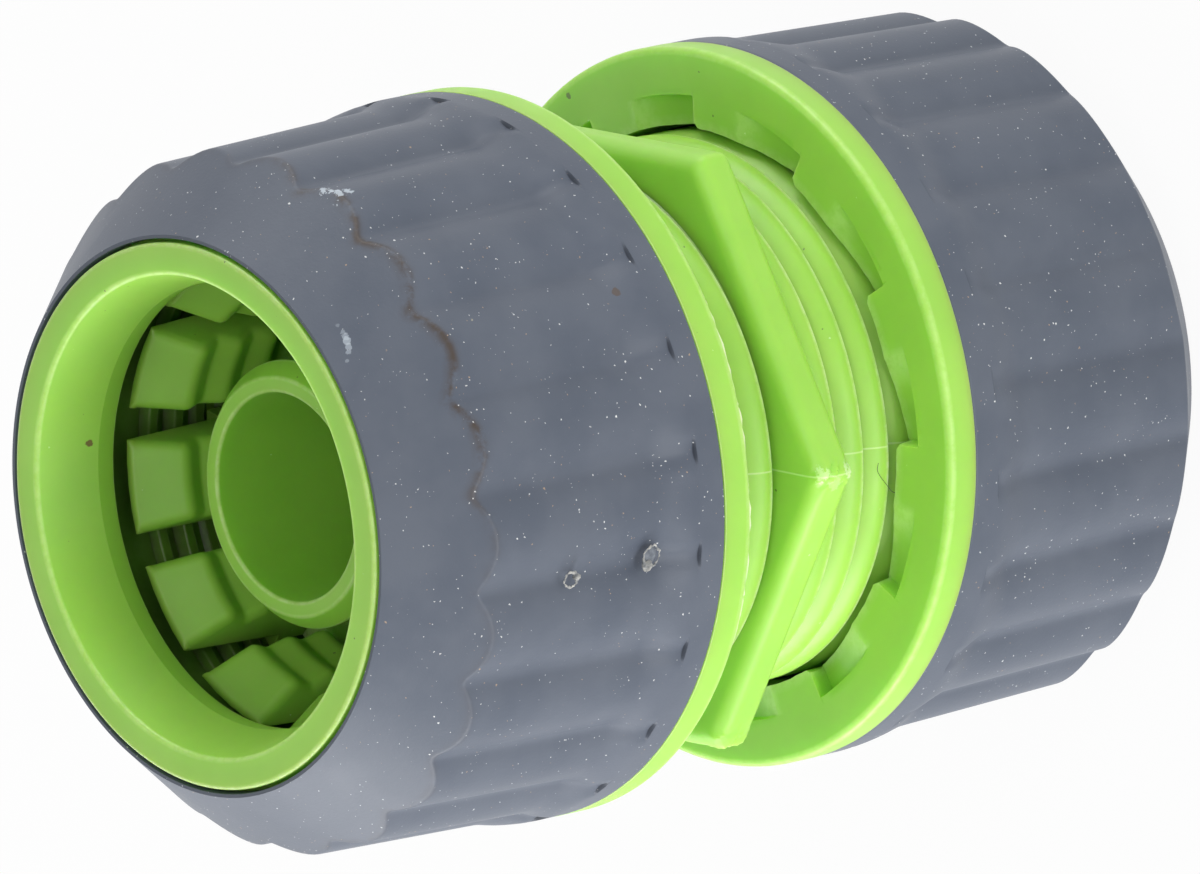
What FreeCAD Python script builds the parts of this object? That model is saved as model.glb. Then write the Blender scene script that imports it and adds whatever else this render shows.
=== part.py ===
import FreeCAD, Part
import math
import os

os.makedirs("parts", exist_ok=True)

# Hose connector that joins two ends of garden hose. A one-piece body has a hose tail
# and a ring of slotted gripping fingers at each end and a hexagon flange in the middle.
# A nut with a soft lobed grip is screwed over the fingers of each end.
# Millimetres, +Z up along the water bore, origin on the floor in the middle of the
# lower nut's nose. Heights called h are counted outwards from the body's middle plane,
# and heights called n are counted from a nut's nose towards its rear face.

# Where the nuts stand: the flange's gap to the lower nut, and how much further out the upper
# nut has been left, which is about a tenth of a turn of the thread
lower_nut_gap = 5.47
upper_nut_backed_off = 0.20

# Turned positions about the bore, degrees from +X
finger_turn = 5.62
flange_turn = 30.0
upper_nut_turn = 2.20
lower_nut_turn = 0.67

# Body: water bore and hose tails
bore_radius = 5.42
tail_wall = 1.23
tail_lip_height = 0.43
tail_tip_wall = 0.82
tail_beyond_fingers = 0.18
tail_lip_length = 1.04
tail_lip_back = 0.40
tail_rounding = 0.15

# Body: web in the middle and the skirts round the pockets that take the hose
web_thickness = 6.0
pocket_rounding = 0.5
hose_room = 3.99
pocket_relief = 1.4

# Body: gripping fingers
finger_count = 12
finger_slot_width = 1.73
finger_slot_length = 8.52
finger_tip_wall = 0.86
finger_tip_width = 0.42
finger_taper = 0.36
finger_rounding = 0.15
tooth_depth = 0.6
tooth_pitch = 2.4
tooth_count = 3
tooth_rounding = 0.2
first_tooth_from_tip = 2.36

# Body: outer thread
thread_step = 0.46
thread_depth = 0.79
thread_pitch = 1.75
thread_crest_width = 0.85
thread_flank_width = 0.18
thread_from_flange = 1.03
finger_bare_length = 6.3

# Body: hexagon flange
flange_reach = 3.56
flange_thickness = 2.52
flange_edge_rounding = 0.6
flange_corner_rounding = 0.5
flange_sides = 6

# Nut shell: lip, squeezing cone, bore over the thread and rear rim
thread_clearance = 0.34
finger_clearance = 0.39
finger_tip_clearance = 1.06
nut_length = 21.22
nose_wall = 1.64
nose_rounding = 0.25
mouth_depth = 3.41
mouth_taper = 0.92
throat_length = 1.5
throat_taper = 0.42
lip_end_step = 1.29
lip_end_slope = 0.2
cone_length = 3.95
collar_length = 0.9
shell_wall = 1.75
rim_width = 1.80

# Nut shell: saw-shaped notches in the rear face
notch_count = 12
notch_depth = 0.9
notch_angle = 17.0
notch_reach = 1.60

# Soft grip on each nut
grip_wall = 2.4
grip_gap = 0.20
grip_nose_width = 0.20
grip_nose_from_nose = 0.13
lobe_count = 22
lobe_depth = 0.5
lobe_turn = 1.08
lobe_set_back = 0.30
lobe_taper = 0.55
band_width = 1.65

# Radii worked out from the bore outwards
tail_radius = bore_radius + tail_wall
tail_lip_radius = tail_radius + tail_lip_height
tail_tip_radius = bore_radius + tail_tip_wall
tooth_crest_radius = tail_radius + hose_room
skirt_inner_radius = tooth_crest_radius + pocket_relief
finger_tip_radius = skirt_inner_radius + finger_tip_wall
finger_root_radius = finger_tip_radius + finger_taper
thread_root_radius = finger_root_radius + thread_step
thread_crest_radius = thread_root_radius + thread_depth
flange_corner_radius = thread_crest_radius + flange_reach
nut_bore_radius = thread_crest_radius + thread_clearance
cone_front_radius = finger_tip_radius + finger_clearance
lip_end_radius = cone_front_radius - lip_end_step
throat_radius = lip_end_radius - throat_taper
mouth_radius = throat_radius + mouth_taper
nose_radius = mouth_radius + nose_wall
shell_radius = nut_bore_radius + shell_wall
rim_radius = shell_radius + grip_wall
notch_radius = nut_bore_radius + notch_reach
lobe_rear_crest_radius = rim_radius - lobe_set_back
lobe_front_crest_radius = lobe_rear_crest_radius - lobe_taper

# Heights worked out from the flange outwards
lip_end_from_nose = mouth_depth + throat_length
cone_front_from_nose = lip_end_from_nose + lip_end_slope
lower_nose_height = flange_thickness / 2 + lower_nut_gap + nut_length
upper_nose_height = lower_nose_height + upper_nut_backed_off
total_height = upper_nose_height + lower_nose_height
finger_reach = lower_nose_height - cone_front_from_nose - finger_tip_clearance
finger_slot_floor_height = finger_reach - finger_slot_length
tail_reach = finger_reach + tail_beyond_fingers
pocket_floor_height = web_thickness / 2
first_crest_height = flange_thickness / 2 + thread_from_flange
thread_room = finger_reach - finger_bare_length - first_crest_height
thread_room = thread_room - thread_crest_width / 2 - thread_flank_width
crest_count = int(thread_room / thread_pitch) + 1
rim_front = nut_length - rim_width
band_front = rim_front - band_width

up = FreeCAD.Vector(0, 0, 1)
origin = FreeCAD.Vector(0, 0, 0)


def place(radius, height):
    """Point of a section: radius along +X, height along +Z."""
    return FreeCAD.Vector(radius, 0, height)


def rounded_outline(corners):
    """Closed wire through (radius, height, rounding) corners, rounded by tangent arcs."""
    starts = []
    ends = []
    middles = []
    count = len(corners)
    for index in range(count):
        radius, height, rounding = corners[index]
        corner = place(radius, height)
        before = place(*corners[index - 1][:2]) - corner
        after = place(*corners[(index + 1) % count][:2]) - corner
        reach = 0.0
        bow = 0.0
        half = before.getAngle(after) / 2
        if rounding > 0 and half < math.pi / 2 - 0.001:
            reach = min(rounding / math.tan(half), before.Length * 0.45, after.Length * 0.45)
            true_rounding = reach * math.tan(half)
            bow = true_rounding / math.sin(half) - true_rounding
        inward = FreeCAD.Vector(before).normalize() + FreeCAD.Vector(after).normalize()
        if bow > 0:
            inward.normalize()
        starts.append(corner + FreeCAD.Vector(before).normalize() * reach)
        ends.append(corner + FreeCAD.Vector(after).normalize() * reach)
        middles.append(corner + inward * bow)
    edges = []
    for index in range(count):
        following = (index + 1) % count
        if starts[index].distanceToPoint(ends[index]) > 1e-6:
            edges.append(Part.Arc(starts[index], middles[index], ends[index]).toShape())
        edges.append(Part.LineSegment(ends[index], starts[following]).toShape())
    return Part.Wire(edges)


def turned(corners):
    """Solid of revolution about +Z of an outline of (radius, height, rounding) corners."""
    return Part.Face(rounded_outline(corners)).revolve(origin, up, 360)


def tail_corners():
    """Section of one hose tail from the bore outwards: tip, sealing lip and pocket wall."""
    lip_height = tail_reach - tail_lip_length
    return [
        (bore_radius, tail_reach, tail_rounding),
        (tail_tip_radius, tail_reach, tail_rounding),
        (tail_lip_radius, lip_height, tail_rounding),
        (tail_radius, lip_height - tail_lip_back, tail_rounding),
        (tail_radius, pocket_floor_height, pocket_rounding),
    ]


def finger_corners():
    """Section of the skirt's inner wall, the saw teeth of the fingers and their tips."""
    valley_radius = tooth_crest_radius + tooth_depth
    first_tooth = finger_reach - first_tooth_from_tip
    last_tooth = first_tooth - tooth_pitch * (tooth_count - 1)
    run_out = skirt_inner_radius - tooth_crest_radius
    corners = [
        (skirt_inner_radius, pocket_floor_height, pocket_rounding),
        (skirt_inner_radius, last_tooth - run_out, tooth_rounding),
    ]
    for index in range(tooth_count):
        crest_height = last_tooth + tooth_pitch * index
        corners.append((tooth_crest_radius, crest_height, tooth_rounding))
        if index < tooth_count - 1:
            corners.append((valley_radius, crest_height + tooth_pitch / 2, tooth_rounding))
    corners.append((finger_tip_radius - finger_tip_width, finger_reach, finger_rounding))
    corners.append((finger_tip_radius, finger_reach, finger_rounding))
    return corners


def thread_corners():
    """Section of the outer thread from its outer end inwards, crests as equal rings."""
    half_crest = thread_crest_width / 2
    half_root = half_crest + thread_flank_width
    corners = []
    for index in reversed(range(crest_count)):
        height = first_crest_height + thread_pitch * index
        outer_foot = thread_root_radius
        if index == crest_count - 1:
            outer_foot = finger_root_radius
        corners.append((outer_foot, height + half_root, 0))
        corners.append((thread_crest_radius, height + half_crest, 0))
        corners.append((thread_crest_radius, height - half_crest, 0))
        corners.append((thread_root_radius, height - half_root, 0))
    return corners


def hexagon_flange():
    """Hexagon plate round the middle plane, its corners and both rims rounded."""
    half = flange_thickness / 2
    points = []
    for index in range(flange_sides + 1):
        angle = math.radians(flange_turn + 360 / flange_sides * index)
        x = flange_corner_radius * math.cos(angle)
        y = flange_corner_radius * math.sin(angle)
        points.append(FreeCAD.Vector(x, y, -half))
    plate = Part.Face(Part.makePolygon(points)).extrude(up * flange_thickness)
    corner_edges = [edge for edge in plate.Edges if abs(edge.tangentAt(edge.FirstParameter).z) > 0.9]
    plate = plate.makeFillet(flange_corner_rounding, corner_edges)
    rim_edges = [edge for edge in plate.Edges if abs(abs(edge.CenterOfMass.z) - half) < 1e-6]
    plate = plate.makeFillet(min(flange_edge_rounding, 0.48 * flange_thickness), rim_edges)
    return plate.cut(Part.makeCylinder(skirt_inner_radius, flange_thickness, -up * half))


def finger_slots():
    """Parallel-sided slots that part the fingers at both ends of the body."""
    outside = thread_crest_radius + 1.0
    inside = (tail_lip_radius + tooth_crest_radius) / 2
    length = finger_reach - finger_slot_floor_height + 1.0
    slots = []
    for index in range(finger_count):
        turn = finger_turn + 360 / finger_count * (index + 0.5)
        for end in (1, -1):
            base = finger_slot_floor_height if end > 0 else -finger_slot_floor_height - length
            corner = FreeCAD.Vector(inside, -finger_slot_width / 2, base)
            slot = Part.makeBox(outside - inside, finger_slot_width, length, corner)
            slot.rotate(origin, up, turn)
            slots.append(slot)
    return slots


def connector_body():
    """Body with its middle plane at the origin, then lifted to its place."""
    outer_end = tail_corners() + finger_corners() + thread_corners()
    other_end = [(radius, -height, rounding) for radius, height, rounding in reversed(outer_end)]
    body = turned(outer_end + other_end)
    body = body.fuse(hexagon_flange())
    body = body.cut(finger_slots())
    body = body.removeSplitter()
    body.translate(up * lower_nose_height)
    return body


def shell_blank():
    """Nut shell before its notches, nose at height 0 and rear face at the nut's length."""
    return turned(
        [
            (mouth_radius, 0, nose_rounding),
            (throat_radius, mouth_depth, nose_rounding),
            (lip_end_radius, lip_end_from_nose, 0),
            (cone_front_radius, cone_front_from_nose, 0),
            (nut_bore_radius, cone_front_from_nose + cone_length, 0),
            (nut_bore_radius, nut_length, 0),
            (rim_radius, nut_length, 0),
            (rim_radius, rim_front, 0),
            (shell_radius, rim_front, 0),
            (shell_radius, collar_length + shell_radius - nose_radius, 0),
            (nose_radius, collar_length, 0),
            (nose_radius, 0, nose_rounding),
        ]
    )


def ramp_section(radius, turn):
    """Triangle of one notch at a radius: a wall as deep as the notch and a ramp up."""
    wall = math.radians(turn)
    ramp_end = math.radians(turn + notch_angle)
    above = nut_length + notch_depth * 0.1
    rise = notch_angle * 0.1
    over = math.radians(turn + notch_angle + rise)
    corners = [
        FreeCAD.Vector(radius * math.cos(wall), radius * math.sin(wall), nut_length - notch_depth),
        FreeCAD.Vector(radius * math.cos(over), radius * math.sin(over), above),
        FreeCAD.Vector(radius * math.cos(wall), radius * math.sin(wall), above),
    ]
    return Part.makePolygon(corners + corners[:1])


def notches():
    """Saw-shaped notches of the rear face, open to the bore."""
    reach = Part.makeCylinder(notch_radius, nut_length * 2)
    cuts = []
    for index in range(notch_count):
        turn = 360 / notch_count * index
        inner = ramp_section(nut_bore_radius - 1.0, turn)
        outer = ramp_section(notch_radius + 1.0, turn)
        cuts.append(Part.makeLoft([inner, outer], True, True).common(reach))
    return cuts


def nut_shell():
    """Hard shell of a nut: lip, cone, bore, rim and notched rear face."""
    return shell_blank().cut(notches()).removeSplitter()


def lobed_outline(crest_radius, height):
    """Wire of equal convex arcs round the axis that meet in sharp valleys."""
    valley_radius = crest_radius - lobe_depth
    step = math.radians(360 / lobe_count)
    start = math.radians(lobe_turn)
    edges = []
    for index in range(lobe_count):
        arc_points = []
        for radius, share in ((valley_radius, 0), (crest_radius, 0.5), (valley_radius, 1)):
            angle = start + step * (index + share)
            x = radius * math.cos(angle)
            y = radius * math.sin(angle)
            arc_points.append(FreeCAD.Vector(x, y, height))
        edges.append(Part.Arc(*arc_points).toShape())
    return Part.Wire(edges)


def nut_grip():
    """Soft grip over a nut shell: nose cone, lobes and a plain band at the rear."""
    front = lobed_outline(lobe_front_crest_radius, 0)
    rear = lobed_outline(lobe_rear_crest_radius, band_front)
    lobes = Part.makeLoft([front, rear], True, True)
    band = Part.makeCylinder(rim_radius, band_width, up * band_front)
    inner_nose = nose_radius + grip_gap
    outer_nose = inner_nose + grip_nose_width
    cone_end = grip_nose_from_nose + rim_radius - outer_nose
    seat = collar_length + shell_radius - nose_radius
    sleeve = turned(
        [
            (inner_nose, grip_nose_from_nose, 0),
            (outer_nose, grip_nose_from_nose, 0),
            (rim_radius, cone_end, 0),
            (rim_radius, rim_front, 0),
            (shell_radius, rim_front, 0),
            (shell_radius, seat, 0),
            (inner_nose, collar_length + grip_gap, 0),
        ]
    )
    return lobes.fuse(band).common(sleeve).removeSplitter()


def on_upper_end(shape):
    """Copy of a nut's piece put on the upper end, nose up."""
    copy = shape.copy()
    copy.rotate(origin, FreeCAD.Vector(1, 0, 0), 180)
    copy.rotate(origin, up, upper_nut_turn)
    copy.translate(up * total_height)
    return copy


def on_lower_end(shape):
    """Copy of a nut's piece put on the lower end, nose down."""
    copy = shape.copy()
    copy.rotate(origin, up, lower_nut_turn)
    return copy


shell = nut_shell()
grip = nut_grip()

nodes = {
    "connector_body": connector_body(),
    "upper_nut_shell": on_upper_end(shell),
    "upper_nut_grip": on_upper_end(grip),
    "lower_nut_shell": on_lower_end(shell),
    "lower_nut_grip": on_lower_end(grip),
}

for name, shape in nodes.items():
    shape.exportStep("parts/" + name + ".step")
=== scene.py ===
"""Dresses the hose connector's CAD frame: moulded meshes, plastics, studio and camera.

The connector stands on the lower nut's nose, +Z up along its water bore. Heights called h are
counted outwards from the body's middle plane, and heights called n from a nut's nose towards
its rear face. Angles are in radians about +Z from +X unless a name says degrees.
"""
import logging
import math
from dataclasses import dataclass, field
from enum import Enum

import bmesh
import bpy
import numpy as np
from mathutils import Matrix, Vector


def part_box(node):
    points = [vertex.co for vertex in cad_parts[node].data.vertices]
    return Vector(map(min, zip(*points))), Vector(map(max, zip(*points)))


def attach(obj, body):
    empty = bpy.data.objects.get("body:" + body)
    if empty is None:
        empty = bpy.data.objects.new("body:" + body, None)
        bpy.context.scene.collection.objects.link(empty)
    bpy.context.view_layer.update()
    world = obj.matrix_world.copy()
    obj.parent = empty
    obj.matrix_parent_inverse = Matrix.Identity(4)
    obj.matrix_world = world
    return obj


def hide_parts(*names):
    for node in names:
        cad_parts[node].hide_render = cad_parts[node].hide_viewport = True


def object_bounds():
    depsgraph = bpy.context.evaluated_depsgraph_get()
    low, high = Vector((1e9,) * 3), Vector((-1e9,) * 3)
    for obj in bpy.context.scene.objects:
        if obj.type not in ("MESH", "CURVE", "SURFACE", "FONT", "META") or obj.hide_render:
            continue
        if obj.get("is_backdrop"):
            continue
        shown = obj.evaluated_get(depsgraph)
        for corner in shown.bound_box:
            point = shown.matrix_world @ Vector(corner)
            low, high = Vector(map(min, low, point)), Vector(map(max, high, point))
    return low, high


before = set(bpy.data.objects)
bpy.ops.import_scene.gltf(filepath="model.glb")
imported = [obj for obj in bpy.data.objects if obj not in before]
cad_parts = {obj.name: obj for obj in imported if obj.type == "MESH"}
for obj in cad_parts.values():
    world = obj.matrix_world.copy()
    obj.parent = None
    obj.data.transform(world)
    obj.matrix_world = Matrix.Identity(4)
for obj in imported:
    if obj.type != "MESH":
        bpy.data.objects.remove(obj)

log = logging.getLogger("hose_connector")

MM = 0.001
PHOTO_WIDTH = 1200
Triple = tuple[float, float, float]


class End(Enum):
    """The two ends of the connector, with the way that the bore leaves the body there."""

    UPPER = 1
    LOWER = -1

    @property
    def label(self) -> str:
        """Name of the end as the frame's nodes use it."""
        return self.name.lower()


@dataclass
class Surface:
    """A mesh under construction: points in metres, four-sided faces, flat caps, point tones."""

    points: np.ndarray
    quads: np.ndarray
    caps: list[list[int]] = field(default_factory=list)
    tones: dict[str, np.ndarray] = field(default_factory=dict)

    def tone(self, name: str) -> np.ndarray:
        """Values of a tone at each point, 0 where the surface has none."""
        return self.tones.get(name, np.zeros(len(self.points)))

    def joined(self, *others: "Surface") -> "Surface":
        """One surface that holds this one and the others, left apart as closed shells.

        Args:
            others: surfaces whose faces are added after this one's.

        Returns:
            A new surface.
        """
        parts = (self, *others)
        starts = np.cumsum([0] + [len(part.points) for part in parts])
        quads = [part.quads + start for part, start in zip(parts, starts)]
        caps = [[corner + int(start) for corner in cap] for part, start in zip(parts, starts) for cap in part.caps]
        names = sorted({name for part in parts for name in part.tones})
        tones = {name: np.concatenate([part.tone(name) for part in parts]) for name in names}
        return Surface(np.concatenate([part.points for part in parts]), np.concatenate(quads), caps, tones)

    def placed(self, matrix: Matrix) -> "Surface":
        """The same surface with its points moved by a rigid 4 by 4 matrix."""
        array = np.array(matrix)
        return Surface(self.points @ array[:3, :3].T + array[:3, 3], self.quads, self.caps, self.tones)


def smooth(value: np.ndarray | float, low: float, high: float) -> np.ndarray:
    """Smoothstep: 0 below low, 1 above high and 3t^2 - 2t^3 between them.

    Args:
        value: the number or array that is eased.
        low: where the step starts.
        high: where the step ends.

    Returns:
        The eased share, as an array.
    """
    share = np.clip((np.asarray(value, float) - low) / (high - low), 0.0, 1.0)
    return share * share * (3.0 - 2.0 * share)


def soft_least(first: np.ndarray, second: np.ndarray, blend: float) -> np.ndarray:
    """Lower of two heights with a rounded edge where they cross.

    The polynomial smooth minimum: the lower value less blend times q^2 / 4, where q is
    1 - |difference| / blend, and no less than 0.
    """
    near = np.clip(1.0 - np.abs(first - second) / blend, 0.0, 1.0)
    return np.minimum(first, second) - blend * near * near / 4.0


def ripple(angle: np.ndarray, counts: tuple[int, ...], seed: int) -> np.ndarray:
    """Closed waviness round a ring: a sum of sines of whole numbers of waves, within -1 to 1."""
    draw = np.random.default_rng(seed)
    total = np.zeros_like(angle)
    for count in counts:
        total += draw.uniform(0.4, 1.0) * np.sin(count * angle + draw.uniform(0.0, 2.0 * math.pi))
    return total / len(counts)


def rounded_section(corners: list[Triple], steps: int = 5) -> np.ndarray:
    """Closed outline through (radius, height, rounding) corners.

    Each corner with a rounding becomes a circular arc tangent to its two sides, with one more
    point just past each end of the arc, so that flat stretches shade flat.

    Args:
        corners: radius, height and rounding of each corner, in order round the section.
        steps: number of chords in each arc.

    Returns:
        Points as an array of (radius, height) rows.
    """
    place = np.array([corner[:2] for corner in corners])
    rounds = np.array([corner[2] for corner in corners])
    before = np.roll(place, 1, axis=0) - place
    after = np.roll(place, -1, axis=0) - place
    length_before = np.linalg.norm(before, axis=1)
    length_after = np.linalg.norm(after, axis=1)
    before /= length_before[:, None]
    after /= length_after[:, None]
    pieces = []
    for index, corner in enumerate(place):
        half = math.acos(float(np.clip(before[index] @ after[index], -1.0, 1.0))) / 2.0
        room = 0.45 * min(length_before[index], length_after[index])
        reach = min(rounds[index] / math.tan(half), room) if rounds[index] > 0 else 0.0
        if reach <= 0.0:
            pieces.append(corner[None, :])
            continue
        radius = reach * math.tan(half)
        inward = before[index] + after[index]
        centre = corner + inward / np.linalg.norm(inward) * radius / math.sin(half)
        start, end = corner + before[index] * reach, corner + after[index] * reach
        share = np.linspace(0.0, 1.0, steps + 1)[:, None]
        sweep = math.pi - 2.0 * half
        first, last = start - centre, end - centre
        arc = (np.sin((1.0 - share) * sweep) * first + np.sin(share * sweep) * last) / math.sin(sweep)
        hold = min(reach * 0.35, room - reach * 0.99)
        guard_before = start + before[index] * hold
        guard_after = end + after[index] * hold
        pieces.append(np.vstack([guard_before, centre + arc, guard_after]))
    return np.concatenate(pieces)


def outward_bend(section: np.ndarray) -> np.ndarray:
    """Share from 0 to 1 of how sharply a closed section turns outwards at each point.

    The turning angle between the two neighbouring sides, signed so that outer corners count,
    over a quarter of a radian.
    """
    ahead = np.roll(section, -1, axis=0) - section
    behind = section - np.roll(section, 1, axis=0)
    turn = np.arctan2(behind[:, 0] * ahead[:, 1] - behind[:, 1] * ahead[:, 0], np.sum(behind * ahead, axis=1))
    return np.clip(turn * math.copysign(1.0, turn.sum()) / 0.25, 0.0, 1.0)


def grid_quads(rows: int, columns: int, wrap_rows: bool, wrap_columns: bool) -> np.ndarray:
    """Four-sided faces between neighbouring points of a grid, closed round where it wraps."""
    row = np.arange(rows if wrap_rows else rows - 1)[:, None]
    column = np.arange(columns if wrap_columns else columns - 1)[None, :]
    next_row, next_column = (row + 1) % rows, (column + 1) % columns
    corners = [row * columns + column, next_row * columns + column]
    corners += [next_row * columns + next_column, row * columns + next_column]
    return np.stack([np.broadcast_to(corner, (row.size, column.size)) for corner in corners], -1).reshape(-1, 4)


def end_caps(rows: int, columns: int) -> list[list[int]]:
    """Flat faces over the first and the last column of a grid, which close a tube's two ends."""
    return [[row * columns + column for row in range(rows)] for column in (0, columns - 1)]


def direction(azimuth_degrees: float, elevation_degrees: float) -> Vector:
    """Unit vector from the part towards a place; azimuth 0 is -Y and 90 is +X."""
    azimuth, elevation = math.radians(azimuth_degrees), math.radians(elevation_degrees)
    level = math.cos(elevation)
    return Vector((math.sin(azimuth) * level, -math.cos(azimuth) * level, math.sin(elevation)))


def ring_surface(radius: np.ndarray, height: np.ndarray, angles: np.ndarray, **tones: np.ndarray) -> Surface:
    """Closed ring: radius and height for each place on a section and each angle round +Z.

    A point is (radius cos angle, radius sin angle, height). Rows follow the closed section
    and columns follow the closed circle of angles.
    """
    shape = (radius.shape[0], angles.size)
    radius, height = np.broadcast_to(radius, shape), np.broadcast_to(height, shape)
    points = np.stack([radius * np.cos(angles), radius * np.sin(angles), height], axis=-1)
    spread = {name: np.broadcast_to(values, shape).ravel() for name, values in tones.items()}
    return Surface(points.reshape(-1, 3), grid_quads(*shape, True, True), [], spread)


def turned(section: np.ndarray, columns: int) -> Surface:
    """Solid of revolution about +Z of a closed (radius, height) section."""
    angles = np.arange(columns) * (2.0 * math.pi / columns)
    # Outer corners get a pale tone, partly wear and partly painted highlight.
    return ring_surface(section[:, :1], section[:, 1:], angles, wear=0.5 * outward_bend(section)[:, None])


def helix_ridge(
    profile: np.ndarray, start: float, turns: float, pitch: float, middle: float,
    crest: np.ndarray | float = 0.0, columns: int = 144, fade: float = 0.12,
) -> Surface:
    """Right-hand screw ridge: a closed profile carried along a helix about +Z.

    At angle a the profile's heights are shifted by middle + pitch (a - start) / 2 pi, and its
    radii sink towards the first profile point's radius over the first and last fade turns.

    Args:
        profile: closed (radius, height) outline, its first point at the ridge's foot.
        start: angle at which the helix starts.
        turns: number of turns.
        pitch: rise of one turn.
        middle: height of the profile's zero at the start.
        crest: extra radius, one number or one for each column along the helix.
        columns: grid columns in one turn.
        fade: share of a turn in which each end sinks into the wall.

    Returns:
        A closed surface with a flat cap at each end.
    """
    count = int(columns * turns) + 1
    along = np.linspace(0.0, turns, count)
    angle = start + along * 2.0 * math.pi
    grown = smooth(along, 0.0, fade) * smooth(turns - along, 0.0, fade)
    foot = profile[0, 0]
    lift = profile[:, :1] - foot
    radius = foot + lift * (0.02 + 0.98 * grown)[None, :] + (np.abs(lift) > 1e-9) * crest
    height = profile[:, 1:] + (middle + pitch * along)[None, :]
    points = np.stack([radius * np.cos(angle), radius * np.sin(angle), height], axis=-1)
    rows = len(profile)
    # Outer corners get a pale tone, partly wear and partly painted highlight.
    wear = np.repeat(0.7 * outward_bend(profile), count)
    quads = grid_quads(rows, count, True, False)
    return Surface(points.reshape(-1, 3), quads, end_caps(rows, count), {"wear": wear})


def make_piece(
    name: str, surface: Surface, material: bpy.types.Material, body: str, slot: str, *nodes: str,
) -> bpy.types.Object:
    """Makes a finished piece of a surface, lets it ride on a CAD body and reports it.

    Doubles are merged, faces are turned outwards, edges sharper than the smoothing angle stay
    sharp, and each tone becomes a named point attribute that the finishes read.

    Args:
        name: the piece's name.
        surface: its mesh, in metres in the CAD frame.
        material: its finish.
        body: the CAD body that it rides on.
        slot: a material slot's name; not used.
        nodes: CAD nodes that it stands for.

    Returns:
        The new object, at the origin, unturned and unscaled.
    """
    mesh = bpy.data.meshes.new(name)
    mesh.from_pydata(surface.points.tolist(), [], surface.quads.tolist() + surface.caps)
    for tone_name, values in surface.tones.items():
        tone = mesh.attributes.new(tone_name, "FLOAT", "POINT")
        tone.data.foreach_set("value", values.astype(np.float32))
    work = bmesh.new()
    work.from_mesh(mesh)
    bmesh.ops.remove_doubles(work, verts=work.verts, dist=1e-7)
    bmesh.ops.recalc_face_normals(work, faces=work.faces)
    work.to_mesh(mesh)
    work.free()
    mesh.shade_smooth()
    mesh.set_sharp_from_angle(angle=math.radians(38.0))
    mesh.materials.append(material)
    piece = bpy.data.objects.new(name, mesh)
    bpy.context.scene.collection.objects.link(piece)
    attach(piece, body)
    if nodes:
        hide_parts(*nodes)
    log.info("%s: %d faces on %s", name, len(mesh.polygons), body)
    return piece


Feed = bpy.types.NodeSocket | float | tuple


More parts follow.
